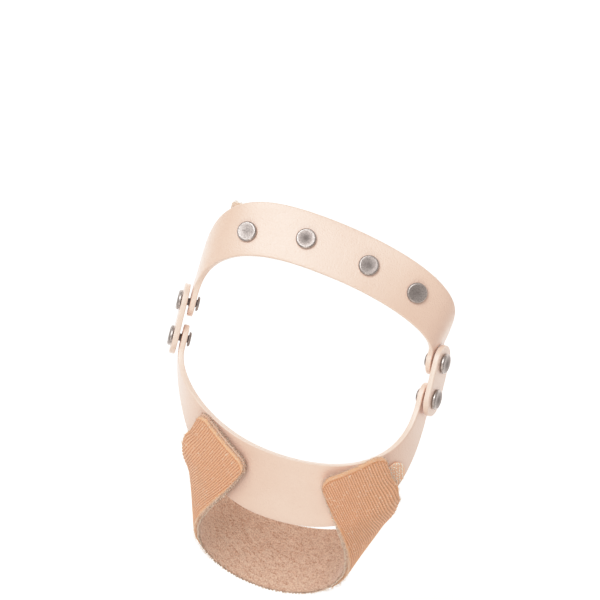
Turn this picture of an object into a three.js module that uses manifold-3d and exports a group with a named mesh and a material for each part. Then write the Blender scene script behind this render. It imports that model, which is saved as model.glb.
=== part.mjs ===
// Ulnar deviation splint for a right hand: two bands of plastic sheet hinged at both sides by riveted links,
// four soft finger loops, and a padded wrist strap that sticks to hook patches on the palm band.
// Millimetres. x runs towards the little finger, y towards the fingertips, z out of the back of the hand.
// The origin is the middle of the hand hollow, halfway between the four pivots.
import * as THREE from 'three';
import { mergeVertices } from 'three/addons/utils/BufferGeometryUtils.js';
import Module from 'manifold-3d';

const radians = THREE.MathUtils.degToRad;

// Plastic sheet and ears
const SHEET = 2;
const EAR_SPAN = 42.65;
const EAR_RADIUS = 4.8;
const EAR_LEAN = radians(13);
const PIVOT_SPACING = 12.5;

// Links
const LINK_RADIUS = 6.1;
const LINK_THICKNESS = 2;
const LINK_BEVEL = 0.35;
const LINK_EAR_GAP = 0.95;

// Rivets
const CAP_RADIUS = 3.5;
const CAP_HEIGHT = 1.1;
const CAP_CHAMFER = 0.45;
const CAP_GAP = 0.25;
const SHANK_RADIUS = 1.3;
const PEEN_RADIUS = 2.6;
const PEEN_HEIGHT = 0.8;
const PIVOT_PEEN_GAP = 0.55;
const LOOP_PEEN_GAP = 1.7;
const RIVET_SIDES = 16;
const PIVOT_HOLE = 1.95;
const FIXED_HOLE = 1.6;
const HOLE_LENGTH = 9;

// Soft pieces
const PATCH_THICKNESS = 0.8;
const STRAP_THICKNESS = 2.4;
const STRAP_CORNER = 0.2;
const SOFT_GAP = 0.25;
const LOOP_GAP = 1.05;
const LOOP_WALL = 1.5;
const LOOP_WIDTH = 12;
const LOOP_SQUARENESS = 2.4;
const LOOP_SIDES = 40;
const LOOP_UPRIGHT = 0.6;

// Each band edge is a squared-off arch from ear to ear. In plan it starts at `start` beside the ear and swells by
// `depth`, more to one side by `slant`, more in the middle by `bow` and shifted sideways by `shift`. `crown` is its
// height on the middle line.
const BANDS = {
  finger: {
    heading: 1,
    risePower: 1.3,
    riseSlant: -3,
    near: {
      start: 7.6, depth: 18.2, slant: -6, bow: 0,
      radialSquare: 2.4, ulnarSquare: 2.2, shift: 1.6, crown: 16.6,
    },
    far: {
      start: 13.2, depth: 25, slant: -7.1, bow: 5.7,
      radialSquare: 4.5, ulnarSquare: 5.3, shift: 4.3, crown: 13,
    },
  },
  palm: {
    heading: -1,
    risePower: 1.5,
    riseSlant: -1,
    near: {
      start: 9.9, depth: 26.2, slant: 4.5, bow: 0,
      radialSquare: 1.8, ulnarSquare: 2.3, shift: -1.1, crown: 16.5,
    },
    far: {
      start: 8.4, depth: 49.8, slant: 4, bow: 0,
      radialSquare: 1.7, ulnarSquare: 2.7, shift: 0.6, crown: 7.5,
    },
  },
};
const BAND_STEPS = 44;
const BAND_CROWDING = 1.4;
const BAND_STRIPS = 4;
const EAR_STEPS = 4;
const EAR_SWEEP = radians(82);

// Rivets on the finger band with the loop that each one holds: `along` runs from -1 at the radial ear to 1 at the
// ulnar ear, `across` from 0 at the near edge to 1 at the far edge. `aside` and `forward` move a loop off its rivet.
const FINGERS = [
  { name: 'index', along: -0.692, across: 0.444, loopBreadth: 19.4, loopHeight: 20.5, aside: -1.4, forward: 3.2 },
  { name: 'middle', along: -0.232, across: 0.499, loopBreadth: 18.2, loopHeight: 21, aside: 0.4, forward: 0.5 },
  { name: 'ring', along: 0.295, across: 0.487, loopBreadth: 17.4, loopHeight: 20, aside: -1.6, forward: 0.5 },
  { name: 'little', along: 0.707, across: 0.529, loopBreadth: 14.6, loopHeight: 17.5, aside: -1.4, forward: 0 },
];

// Hook patches on the palm band, in the same along and across measure
const PATCHES = [
  { name: 'radial', from: -0.6, to: -0.34, inner: 0.28, outer: 0.86 },
  { name: 'ulnar', from: 0.5, to: 0.932, inner: 0.34, outer: 0.93 },
];
const PATCH_STEPS = 12;
const PATCH_ROUNDING = 0.95;
const PATCH_ROUND_SHARE = 0.3;

// Strap ends on the palm band: along and across of the corners at the end and where the strap leaves the band
const STRAP_TABS = {
  ulnar: {
    distal: { end: [0.835, -0.18], leave: [0.894, 0.96] },
    proximal: { end: [0.382, 0.19], leave: [0.557, 1.05] },
  },
  radial: {
    distal: { end: [-0.615, -0.1], leave: [-0.71, 0.96] },
    proximal: { end: [-0.155, 0.27], leave: [-0.345, 1] },
  },
};
// The strap's two long edges round the wrist, as ellipses that dip towards the forearm on the palm side
const STRAP_EDGES = {
  distal: { centreX: 4, centreZ: -8, breadth: 36.5, depth: 26, sideY: -43, volarY: -62 },
  proximal: { centreX: 2.4, centreZ: -8, breadth: 28, depth: 24.5, sideY: -69.5, volarY: -86 },
};
const STRAP_TURNS = [0, -45, -90, -135, -180].map(radians);
const TAB_STEPS = 4;
const STRAP_STEPS = 64;
const STRAP_ACROSS = [0, 0.05, 0.16, 0.36, 0.64, 0.84, 0.95, 1];

const wasm = await Module();
wasm.setup();

const FINISHES = {
  plastic: { color: 0xeed6c6, roughness: 0.45, metalness: 0 },
  metal: { color: 0xb4aeaa, roughness: 0.3, metalness: 1 },
  hook: { color: 0xe6cfb8, roughness: 0.9, metalness: 0 },
  knit: { color: 0xdeaa82, roughness: 0.9, metalness: 0 },
  pile: { color: 0xcfc6bd, roughness: 0.95, metalness: 0 },
};

// The frame on the back of the hand, the two links that turn on it, and the frame that the links carry
const splint = new THREE.Group();
const palmFrame = new THREE.Group();
const radialSide = new THREE.Group();
const ulnarSide = new THREE.Group();
const fingerFrame = new THREE.Group();
splint.add(palmFrame, radialSide, ulnarSide, fingerFrame);

function place(group, name, geometry, finish) {
  const mesh = new THREE.Mesh(geometry, new THREE.MeshStandardMaterial(FINISHES[finish]));
  mesh.name = name;
  group.add(mesh);
  return mesh;
}

// Booleans
function solidOf(geometry) {
  const bare = geometry.clone();
  bare.deleteAttribute('normal');
  bare.deleteAttribute('uv');
  const merged = mergeVertices(bare, 1e-4);
  return new wasm.Manifold(new wasm.Mesh({
    numProp: 3,
    vertProperties: new Float32Array(merged.attributes.position.array),
    triVerts: new Uint32Array(merged.index.array),
  }));
}

function geometryOf(solid) {
  const mesh = solid.getMesh();
  const geometry = new THREE.BufferGeometry();
  geometry.setAttribute('position', new THREE.BufferAttribute(mesh.vertProperties, 3));
  geometry.setIndex(new THREE.BufferAttribute(mesh.triVerts, 1));
  geometry.computeVertexNormals();
  return geometry;
}

function drill(geometry, holes) {
  const drilled = holes.reduce((solid, hole) => solid.subtract(solidOf(hole)), solidOf(geometry));
  return geometryOf(drilled);
}

function holeAt(point, axis, radius) {
  const hole = new THREE.CylinderGeometry(radius, radius, HOLE_LENGTH, RIVET_SIDES);
  hole.applyQuaternion(new THREE.Quaternion().setFromUnitVectors(THREE.Object3D.DEFAULT_UP, axis));
  return hole.translate(point.x, point.y, point.z);
}

// A point on a band's middle surface
function edgePoint(band, edge, along) {
  const upper = edge === band.near ? 1 : -1;
  const square = THREE.MathUtils.lerp(edge.radialSquare, edge.ulnarSquare, (along + 1) / 2);
  const swell = Math.pow(Math.max(0, 1 - Math.pow(Math.abs(along), square)), 1 / square);
  const foot = upper * EAR_RADIUS * Math.cos(EAR_LEAN);
  const reach = EAR_SPAN - upper * EAR_RADIUS * Math.sin(EAR_LEAN);
  const depth = edge.depth + edge.slant * along + edge.bow * (1 - along * along);
  return new THREE.Vector3(
    reach * along + edge.shift * swell,
    band.heading * (edge.start + depth * swell),
    foot + (edge.crown - foot + band.riseSlant * along) * Math.pow(swell, band.risePower),
  );
}

function bandPoint(band, along, across) {
  return edgePoint(band, band.near, along).lerp(edgePoint(band, band.far, along), across);
}

// A place on a band: its point, lifted off the middle surface, and the outward normal there
function bandPlace(band, along, across, lift = 0) {
  const step = 1e-3;
  const point = bandPoint(band, along, across);
  const alongWay = bandPoint(band, along + step, across).sub(bandPoint(band, along - step, across));
  const acrossWay = bandPoint(band, along, across + step).sub(bandPoint(band, along, across - step));
  const normal = alongWay.cross(acrossWay).multiplyScalar(band.heading).normalize();
  return { point: point.addScaledVector(normal, lift), normal };
}

// A closed sheet of even thickness round a grid of points, rows by columns
function thickSheet(rows, thickness) {
  const count = rows.length;
  const width = rows[0].length;
  const at = (i, j) => rows[THREE.MathUtils.clamp(i, 0, count - 1)][THREE.MathUtils.clamp(j, 0, width - 1)];
  const points = [[], []];
  rows.forEach((row, i) => row.forEach((point, j) => {
    const down = at(i + 1, j).clone().sub(at(i - 1, j));
    const over = at(i, j + 1).clone().sub(at(i, j - 1));
    const normal = down.cross(over).normalize();
    points[0].push(point.clone().addScaledVector(normal, thickness / 2));
    points[1].push(point.clone().addScaledVector(normal, -thickness / 2));
  }));
  const size = count * width;
  const index = [];
  const quad = (a, b, c, d) => index.push(a, b, c, a, c, d);
  for (let i = 0; i < count - 1; i += 1) {
    for (let j = 0; j < width - 1; j += 1) {
      const a = i * width + j;
      quad(a, a + width, a + width + 1, a + 1);
      quad(size + a, size + a + 1, size + a + width + 1, size + a + width);
    }
    const left = i * width;
    const right = left + width - 1;
    quad(left, size + left, size + left + width, left + width);
    quad(right, right + width, size + right + width, size + right);
  }
  const last = size - width;
  for (let j = 0; j < width - 1; j += 1) {
    quad(j, j + 1, size + j + 1, size + j);
    quad(last + j, size + last + j, size + last + j + 1, last + j + 1);
  }
  const geometry = new THREE.BufferGeometry().setFromPoints([...points[0], ...points[1]]);
  geometry.setIndex(index);
  geometry.computeVertexNormals();
  return geometry;
}

const spread = (count) => Array.from({ length: count + 1 }, (_, i) => i / count);

// Where a pivot axis crosses the middle of an ear
const pivotPoint = (hand, heading) => new THREE.Vector3(hand * EAR_SPAN, heading * PIVOT_SPACING / 2, 0);
const earNormal = (hand) => new THREE.Vector3(hand * Math.cos(EAR_LEAN), 0, Math.sin(EAR_LEAN));

// The round end of an ear as rows across the arm, from its tip to the pivot
function earRows(band, hand) {
  const upward = new THREE.Vector3(-hand * Math.sin(EAR_LEAN), 0, Math.cos(EAR_LEAN));
  return spread(EAR_STEPS).map((share) => {
    const angle = EAR_SWEEP * (1 - share);
    const centre = pivotPoint(hand, band.heading);
    centre.y -= band.heading * EAR_RADIUS * Math.sin(angle);
    return spread(BAND_STRIPS).map((across) =>
      centre.clone().addScaledVector(upward, EAR_RADIUS * Math.cos(angle) * (1 - 2 * across)));
  });
}

// A whole band: radial ear, arch, ulnar ear. The stations crowd towards the ears, where the arch turns fastest.
function bandSheet(band) {
  const half = spread(BAND_STEPS / 2).map((share) => Math.cos(Math.PI / 2 * Math.pow(share, BAND_CROWDING)));
  const stations = [...half.map((along) => -along), ...half.slice(0, -1).reverse()];
  const arch = stations.map((along) => spread(BAND_STRIPS).map((across) => bandPoint(band, along, across)));
  const rows = [...earRows(band, -1), ...arch, ...earRows(band, 1).reverse()];
  if (band.heading < 0) rows.reverse();
  const pivots = [-1, 1].map((hand) =>
    holeAt(pivotPoint(hand, band.heading), earNormal(hand), PIVOT_HOLE));
  return { sheet: thickSheet(rows, SHEET), pivots };
}

// A rivet turned about its axis: a chamfered cap, a shank and a small peened head `grip` below the cap
function rivet(grip) {
  const profile = [
    [0, -grip - PEEN_HEIGHT],
    [PEEN_RADIUS, -grip - PEEN_HEIGHT],
    [PEEN_RADIUS, -grip],
    [SHANK_RADIUS, -grip],
    [SHANK_RADIUS, 0],
    [CAP_RADIUS, 0],
    [CAP_RADIUS, CAP_HEIGHT - CAP_CHAMFER],
    [CAP_RADIUS - CAP_CHAMFER, CAP_HEIGHT],
    [0, CAP_HEIGHT],
  ];
  return new THREE.LatheGeometry(profile.map(([r, h]) => new THREE.Vector2(r, h)), RIVET_SIDES);
}

function placeRivet(group, name, point, axis, grip) {
  const mesh = place(group, name, rivet(grip), 'metal');
  mesh.position.copy(point);
  mesh.quaternion.setFromUnitVectors(THREE.Object3D.DEFAULT_UP, axis);
}

// A link plate with a hole at each pivot, drawn flat about the middle of its inner face
function linkPlate() {
  const half = PIVOT_SPACING / 2;
  const outline = new THREE.Shape();
  outline.absarc(0, half, LINK_RADIUS, 0, Math.PI);
  outline.absarc(0, -half, LINK_RADIUS, Math.PI, 2 * Math.PI);
  for (const y of [half, -half]) {
    outline.holes.push(new THREE.Path().absarc(0, y, FIXED_HOLE, 0, 2 * Math.PI, true));
  }
  const plate = new THREE.ExtrudeGeometry(outline, {
    depth: LINK_THICKNESS - 2 * LINK_BEVEL,
    bevelThickness: LINK_BEVEL,
    bevelSize: LINK_BEVEL,
    bevelOffset: -LINK_BEVEL,
    bevelSegments: 1,
    curveSegments: RIVET_SIDES / 2,
  });
  return plate.translate(0, 0, LINK_BEVEL);
}

// Bands
const fingerBand = bandSheet(BANDS.finger);
const fingerPlaces = FINGERS.map((finger) => bandPlace(BANDS.finger, finger.along, finger.across));
const fingerHoles = fingerPlaces.map(({ point, normal }) => holeAt(point, normal, FIXED_HOLE));
place(fingerFrame, 'finger_band', drill(fingerBand.sheet, [...fingerBand.pivots, ...fingerHoles]), 'plastic');

const palmBand = bandSheet(BANDS.palm);
place(palmFrame, 'palm_band', drill(palmBand.sheet, palmBand.pivots), 'plastic');

// Links and the rivets that they turn on
const SIDES = [
  { name: 'radial', hand: -1, group: radialSide },
  { name: 'ulnar', hand: 1, group: ulnarSide },
];
const ENDS = [
  { name: 'distal', heading: 1 },
  { name: 'proximal', heading: -1 },
];
for (const side of SIDES) {
  const outward = earNormal(side.hand);
  const lengthwise = new THREE.Vector3(0, 1, 0);
  const inwardFace = SHEET / 2 + LINK_EAR_GAP;
  const link = place(side.group, `${side.name}_link`, linkPlate(), 'plastic');
  link.position.copy(pivotPoint(side.hand, 0)).addScaledVector(outward, inwardFace);
  const upward = lengthwise.clone().cross(outward);
  link.setRotationFromMatrix(new THREE.Matrix4().makeBasis(upward, lengthwise, outward));

  const seat = inwardFace + LINK_THICKNESS + CAP_GAP;
  const grip = seat + SHEET / 2 + PIVOT_PEEN_GAP;
  for (const end of ENDS) {
    const point = pivotPoint(side.hand, end.heading).addScaledVector(outward, seat);
    placeRivet(side.group, `${side.name}_pivot_${end.name}`, point, outward, grip);
  }
}

// A soft finger loop: an oval ring drawn round the finger's axis with its crown at the origin
function loopRing(breadth, height) {
  const oval = (halfBreadth, halfHeight) => spread(LOOP_SIDES).slice(0, -1).map((share) => {
    const angle = 2 * Math.PI * share;
    const bow = (value) => Math.sign(value) * Math.pow(Math.abs(value), 2 / LOOP_SQUARENESS);
    return new THREE.Vector2(halfBreadth * bow(Math.cos(angle)), halfHeight * bow(Math.sin(angle)));
  });
  const outline = new THREE.Shape(oval(breadth / 2, height / 2));
  outline.holes.push(new THREE.Path(oval(breadth / 2 - LOOP_WALL, height / 2 - LOOP_WALL).reverse()));
  const ring = new THREE.ExtrudeGeometry(outline, { depth: LOOP_WIDTH, bevelEnabled: false });
  return ring.translate(0, -height / 2, -LOOP_WIDTH / 2);
}

// Finger rivets and loops. A loop's ends stay upright, and its length follows the slope of the band above it.
FINGERS.forEach((finger, i) => {
  const { point, normal } = fingerPlaces[i];
  const underside = SHEET / 2 + LOOP_GAP;
  const lean = (1 - LOOP_UPRIGHT) * Math.atan2(normal.x, normal.z);
  const droop = Math.atan2(normal.y, normal.z);
  const upright = new THREE.Vector3(Math.sin(lean), 0, Math.cos(lean));
  const sideways = new THREE.Vector3(-Math.cos(lean), 0, Math.sin(lean));
  const fingerwise = new THREE.Vector3(0, Math.cos(droop), -Math.sin(droop));
  const lay = new THREE.Matrix4().makeBasis(sideways, upright, fingerwise);
  const crown = point.clone().addScaledVector(normal, -underside);
  const shift = fingerwise.clone().multiplyScalar(finger.forward).addScaledVector(sideways, -finger.aside);
  lay.setPosition(crown.clone().add(shift));
  const ring = loopRing(finger.loopBreadth, finger.loopHeight).applyMatrix4(lay);
  const eyelet = holeAt(crown, normal, FIXED_HOLE);
  place(fingerFrame, `${finger.name}_loop`, drill(ring, [eyelet]), 'pile');

  const seat = SHEET / 2 + CAP_GAP;
  const grip = seat + underside + LOOP_WALL + LOOP_PEEN_GAP;
  const head = point.clone().addScaledVector(normal, seat);
  placeRivet(fingerFrame, `${finger.name}_rivet`, head, normal, grip);
});

// Hook patches
const patchLift = SHEET / 2 + SOFT_GAP + PATCH_THICKNESS / 2;
for (const patch of PATCHES) {
  const middle = (patch.inner + patch.outer) / 2;
  const half = (patch.outer - patch.inner) / 2;
  const rows = spread(PATCH_STEPS).map((share) => {
    const corner = PATCH_ROUNDING * Math.max(0, 1 - Math.min(share, 1 - share) / PATCH_ROUND_SHARE);
    const reach = half * Math.sqrt(1 - corner * corner);
    const along = THREE.MathUtils.lerp(patch.from, patch.to, share);
    return spread(BAND_STRIPS).map((across) =>
      bandPlace(BANDS.palm, along, middle + reach * (2 * across - 1), patchLift).point);
  });
  place(palmFrame, `${patch.name}_hook_patch`, thickSheet(rows.reverse(), PATCH_THICKNESS), 'hook');
}

// Wrist strap: rows across the strap on one tab, round the wrist and on the other tab, joined by smooth lines
const strapLift = SHEET / 2 + 2 * SOFT_GAP + PATCH_THICKNESS + STRAP_THICKNESS / 2;

function tabRows(tab) {
  return spread(TAB_STEPS).map((share) => STRAP_ACROSS.map((across) => {
    const fromEdge = Math.min(across, 1 - across) / STRAP_CORNER;
    const corner = Math.max(0, 1 - fromEdge);
    const start = STRAP_CORNER * (1 - Math.sqrt(1 - corner * corner));
    const reach = THREE.MathUtils.lerp(start, 1, share);
    const [distal, proximal] = [tab.distal, tab.proximal].map(({ end, leave }) =>
      end.map((value, k) => THREE.MathUtils.lerp(value, leave[k], reach)));
    const [along, over] = distal.map((value, k) => THREE.MathUtils.lerp(value, proximal[k], across));
    return bandPlace(BANDS.palm, along, over, strapLift).point;
  }));
}

function wristRow(turn) {
  const [distal, proximal] = [STRAP_EDGES.distal, STRAP_EDGES.proximal].map((edge) => new THREE.Vector3(
    edge.centreX + edge.breadth * Math.cos(turn),
    THREE.MathUtils.lerp(edge.volarY, edge.sideY, 1 + Math.sin(turn)),
    edge.centreZ + edge.depth * Math.sin(turn),
  ));
  return STRAP_ACROSS.map((across) => distal.clone().lerp(proximal, across));
}

const strapRows = [
  ...tabRows(STRAP_TABS.ulnar),
  ...STRAP_TURNS.map(wristRow),
  ...tabRows(STRAP_TABS.radial).reverse(),
];
const strapLines = STRAP_ACROSS.map((_, j) => new THREE.CatmullRomCurve3(strapRows.map((row) => row[j])));
const strapGrid = spread(STRAP_STEPS).map((share) => strapLines.map((line) => line.getPoint(share)));
place(palmFrame, 'wrist_strap', thickSheet(strapGrid, STRAP_THICKNESS), 'knit');

export default splint;
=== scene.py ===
# %% [markdown]
# # Ulnar deviation splint
# The splint is two bands of plastic sheet, hinged to each other by riveted links, with a soft strap
# behind them. The solids come from the CAD model and say where every piece is. This lesson gives
# each piece its looks: first the fine shape in mesh arrays, then a material made of nodes.

# %% Load the frame
import math

import bpy
import numpy as np
from mathutils import Matrix, Vector


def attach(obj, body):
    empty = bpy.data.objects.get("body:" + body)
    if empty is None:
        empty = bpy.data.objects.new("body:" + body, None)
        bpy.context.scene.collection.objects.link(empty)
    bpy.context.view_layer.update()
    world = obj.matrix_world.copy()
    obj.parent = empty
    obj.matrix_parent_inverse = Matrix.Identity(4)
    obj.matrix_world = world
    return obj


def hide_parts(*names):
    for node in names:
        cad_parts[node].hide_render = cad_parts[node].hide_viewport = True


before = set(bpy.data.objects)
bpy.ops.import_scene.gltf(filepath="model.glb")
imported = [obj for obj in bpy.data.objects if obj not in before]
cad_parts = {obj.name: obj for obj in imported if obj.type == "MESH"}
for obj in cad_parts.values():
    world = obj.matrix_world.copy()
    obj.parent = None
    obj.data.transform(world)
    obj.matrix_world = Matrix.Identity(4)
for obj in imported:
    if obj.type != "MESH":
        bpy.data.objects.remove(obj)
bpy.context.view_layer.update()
MM = 0.001

# %% [markdown]
# ## Meshes from arrays
# Everything here is computed as rows of points, so one small helper turns points and faces into an
# object. Blender could also grow these shapes from modifiers, but arrays give exact control of
# where an edge runs. Sizes are in millimetres until this last moment, because that is how a splint
# maker would measure them.

# %% Points and faces to an object
def add_piece(name, points, faces):
    mesh = bpy.data.meshes.new(name)
    corners = [list(map(int, face)) for face in faces]
    mesh.from_pydata((np.asarray(points, float) * MM).tolist(), [], corners)
    mesh.shade_smooth()
    piece = bpy.data.objects.new(name, mesh)
    bpy.context.scene.collection.objects.link(piece)
    return piece


def add_values(piece, name, values):
    """One number for each point, for a material to read."""
    layer = piece.data.attributes.new(name, "FLOAT", "POINT")
    layer.data.foreach_set("value", np.asarray(values, np.float32).ravel())


def dress(piece, material, body, nodes=()):
    """Give a piece its material and its body, and hide the CAD nodes that it stands for."""
    piece.data.materials.clear()
    piece.data.materials.append(material)
    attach(piece, body)
    if nodes:
        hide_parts(*nodes)
    print(f"{piece.name}: {len(piece.data.polygons)} faces on {body}")


# %% [markdown]
# ## A sheet with rounded rims
# Bands, patches, strap layers and finger loops are all sheets: a grid of points with a thickness. A
# sheet that is only extruded has razor edges that catch no light. Here the thickness falls off over
# the last half millimetre before the rim, along a quarter circle, so every cut edge gets the thin
# bright line that a real one has. On the plastic the rim is also painted paler, a painted highlight.

# %% A thick sheet from a grid
def unit(vectors):
    return vectors / np.maximum(np.linalg.norm(vectors, axis=-1, keepdims=True), 1e-12)


def grid_normals(grid, ring=False):
    if ring:
        rowwise = np.roll(grid, -1, 0) - np.roll(grid, 1, 0)
    else:
        rowwise = np.gradient(grid, axis=0)
    return unit(np.cross(rowwise, np.gradient(grid, axis=1)))


def rim_height(distance, thickness, rim):
    """Half the thickness at a distance from the rim."""
    inside = 1 - np.clip(distance / rim, 0, 1)
    return thickness / 2 - rim + rim * np.sqrt(1 - inside ** 2)


def thick_sheet(grid, above, below, ring=False):
    """Points and faces of the closed sheet from grid - below to grid + above, along its normals."""
    count, width = grid.shape[:2]
    normals = grid_normals(grid, ring)
    skins = [grid + normals * above[..., None], grid - normals * below[..., None]]
    points = np.concatenate(skins).reshape(-1, 3)
    index = np.arange(count * width).reshape(count, width)
    if ring:
        index = np.concatenate([index, index[:1]])
    lower = index + count * width

    def quads(a, b, c, d):
        return np.stack([a, b, c, d], -1).reshape(-1, 4)

    faces = [
        quads(index[:-1, :-1], index[1:, :-1], index[1:, 1:], index[:-1, 1:]),
        quads(lower[:-1, :-1], lower[:-1, 1:], lower[1:, 1:], lower[1:, :-1]),
        quads(index[:-1, 0], lower[:-1, 0], lower[1:, 0], index[1:, 0]),
        quads(index[:-1, -1], index[1:, -1], lower[1:, -1], lower[:-1, -1]),
    ]
    if not ring:
        faces.append(quads(index[0, :-1], index[0, 1:], lower[0, 1:], lower[0, :-1]))
        faces.append(quads(index[-1, :-1], lower[-1, :-1], lower[-1, 1:], index[-1, 1:]))
    return points, np.concatenate(faces)


# %% Steps across a sheet
RIM_SHARES = np.array([0, 0.02, 0.08, 0.18, 0.34, 0.6])


def rim_steps(rim, width, middles):
    """Distances across a sheet: close together at both rims, even in between."""
    near = rim * RIM_SHARES
    even = np.linspace(rim, width - rim, middles + 1)
    return np.concatenate([near, even, width - near[::-1]])


# %% [markdown]
# ## The bands
# Each band is a strip of thermoplastic sheet, cut flat, warmed and bent over the hand. Its two
# edges are arches that start beside the ears and swell over the knuckles, squarer than an ellipse,
# and the surface runs straight from one edge to the other. So the same short formula that shaped
# the solids can be sampled far more finely here.

# %% Band sizes
SHEET = 2
SHEET_RIM = 0.45
EAR_SPAN = 42.65
EAR_RADIUS = 4.8
EAR_LEAN = math.radians(13)
PIVOT_SPACING = 12.5


def table(columns, *rows):
    """Rows of values as dictionaries, with the names of the columns as keys."""
    return [dict(zip(columns.split(), row)) for row in rows]


finger_near, finger_far, palm_near, palm_far = table(
    "start depth slant bow radial_square ulnar_square shift crown",
    (7.6, 18.2, -6, 0, 2.4, 2.2, 1.6, 16.6),
    (13.2, 25, -7.1, 5.7, 4.5, 5.3, 4.3, 13),
    (9.9, 26.2, 4.5, 0, 1.8, 2.3, -1.1, 16.5),
    (8.4, 49.8, 4, 0, 1.7, 2.7, 0.6, 7.5),
)
finger_band, palm_band = table(
    "heading rise_power rise_slant near far",
    (1, 1.3, -3, finger_near, finger_far),
    (-1, 1.5, -1, palm_near, palm_far),
)
BANDS = {"finger": finger_band, "palm": palm_band}


# %% Points on a band
def edge_points(band, side, along):
    """Points of a band's near or far edge, for along from -1 at one ear to 1 at the other."""
    upper = 1 if side == "near" else -1
    edge = band[side]
    radial, ulnar = edge["radial_square"], edge["ulnar_square"]
    square = radial + (ulnar - radial) * (along + 1) / 2
    swell = np.clip(1 - np.abs(along) ** square, 0, None) ** (1 / square)
    foot = upper * EAR_RADIUS * math.cos(EAR_LEAN)
    reach = EAR_SPAN - upper * EAR_RADIUS * math.sin(EAR_LEAN)
    depth = edge["depth"] + edge["slant"] * along + edge["bow"] * (1 - along ** 2)
    x = reach * along + edge["shift"] * swell
    y = band["heading"] * (edge["start"] + depth * swell)
    z = foot + (edge["crown"] - foot + band["rise_slant"] * along) * swell ** band["rise_power"]
    return np.stack([x, y, z], -1)


def band_points(band, along, across):
    near, far = edge_points(band, "near", along), edge_points(band, "far", along)
    return near + (far - near) * across[..., None]


def band_places(band, along, across, lift=0):
    """Points on a band, lifted off its middle surface, and the outward normals there."""
    along, across = np.broadcast_arrays(np.asarray(along, float), np.asarray(across, float))
    step = 1e-3
    points = band_points(band, along, across)
    alongways = band_points(band, along + step, across) - band_points(band, along - step, across)
    acrossways = band_points(band, along, across + step) - band_points(band, along, across - step)
    normals = unit(np.cross(alongways, acrossways) * band["heading"])
    return points + normals * lift, normals


def pivot_point(hand, heading):
    return np.array([hand * EAR_SPAN, heading * PIVOT_SPACING / 2, 0.0])


def ear_normal(hand):
    return np.array([hand * math.cos(EAR_LEAN), 0, math.sin(EAR_LEAN)])


def band_length(band, start, end, across):
    """Length of a line along a band, on its middle surface."""
    line = band_points(band, np.linspace(start, end, 200), np.array(across))
    return np.linalg.norm(np.diff(line, axis=0), axis=1).sum()


for name, band in BANDS.items():
    print(f"{name} band: {band_length(band, -1, 1, 0.5):.0f} mm over its arch")

# %% [markdown]
# A band's rows run across the strip. Through the arch each row joins the two edges, and round the
# end of an ear the rows are chords of a circle. The rim distance is measured to the nearest edge,
# or to the circle on an ear.

# %% Rows of an ear
EAR_ROWS = 16
EAR_FIRST = math.radians(88)
EAR_CROWDING = 1.6
EAR_BRIDGE = (0.25, 0.5, 0.75)


def ear_chords(band, hand):
    """Ends of the rows from the tip of an ear to where the arch begins."""
    upward = np.array([-hand * math.sin(EAR_LEAN), 0, math.cos(EAR_LEAN)])
    angles = EAR_FIRST * (1 - np.linspace(0, 1, EAR_ROWS) ** EAR_CROWDING)
    tipwards = np.array([0, band["heading"], 0])
    centres = pivot_point(hand, band["heading"]) - np.outer(EAR_RADIUS * np.sin(angles), tipwards)
    reach = np.outer(EAR_RADIUS * np.cos(angles), upward)
    near, far = centres + reach, centres - reach
    first = [edge_points(band, side, np.array([float(hand)]))[0] for side in ("near", "far")]
    for share in EAR_BRIDGE:
        near = np.vstack([near, near[EAR_ROWS - 1] * (1 - share) + first[0] * share])
        far = np.vstack([far, far[EAR_ROWS - 1] * (1 - share) + first[1] * share])
    return near, far


# %% Band meshes
ARCH_ROWS = 110
ARCH_CROWDING = 1.4
BAND_MIDDLES = 12
WIDEST_RIM = 0.3


def band_mesh(band):
    half = np.cos(math.pi / 2 * np.linspace(0, 1, ARCH_ROWS) ** ARCH_CROWDING)
    stations = np.concatenate([-half, half[-2::-1]])
    ears = [ear_chords(band, hand) for hand in (-1, 1)]
    near = np.vstack([ears[0][0], edge_points(band, "near", stations), ears[1][0][::-1]])
    far = np.vstack([ears[0][1], edge_points(band, "far", stations), ears[1][1][::-1]])
    lengths = np.linalg.norm(far - near, axis=1)
    rims = np.minimum(SHEET_RIM, WIDEST_RIM * lengths)
    steps = np.array([rim_steps(rim, length, BAND_MIDDLES) for rim, length in zip(rims, lengths)])
    grid = near[:, None] + (far - near)[:, None] * (steps / lengths[:, None])[..., None]
    distance = np.minimum(steps, lengths[:, None] - steps)
    for hand in (-1, 1):
        pivot = pivot_point(hand, band["heading"])
        tipwards = (pivot[1] - grid[..., 1]) * band["heading"] > 0
        on_ear = tipwards & (np.sign(grid[..., 0]) == hand)
        from_circle = np.clip(EAR_RADIUS - np.linalg.norm(grid - pivot, axis=-1), 0, None)
        distance = np.where(on_ear, from_circle, distance)
    height = rim_height(distance, SHEET, SHEET_RIM)
    if band["heading"] < 0:
        grid, height, distance = grid[::-1], height[::-1], distance[::-1]
    points, faces = thick_sheet(grid, height, height)
    rimness = np.clip(1 - distance / SHEET_RIM, 0, 1)
    return points, faces, np.concatenate([rimness.ravel(), rimness.ravel()])


# %% [markdown]
# Rivet holes are drilled last, as in the workshop, with a Boolean modifier that is applied at once
# so that the finished mesh stays.

# %% Drilling
HOLE_LENGTH = 9
PIVOT_HOLE = 1.95
FIXED_HOLE = 1.6
HOLE_SIDES = 48
HOLE_CREASE = math.radians(50)


def turn_to(axis):
    return Vector((0, 0, 1)).rotation_difference(Vector(axis)).to_matrix().to_4x4()


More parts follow.
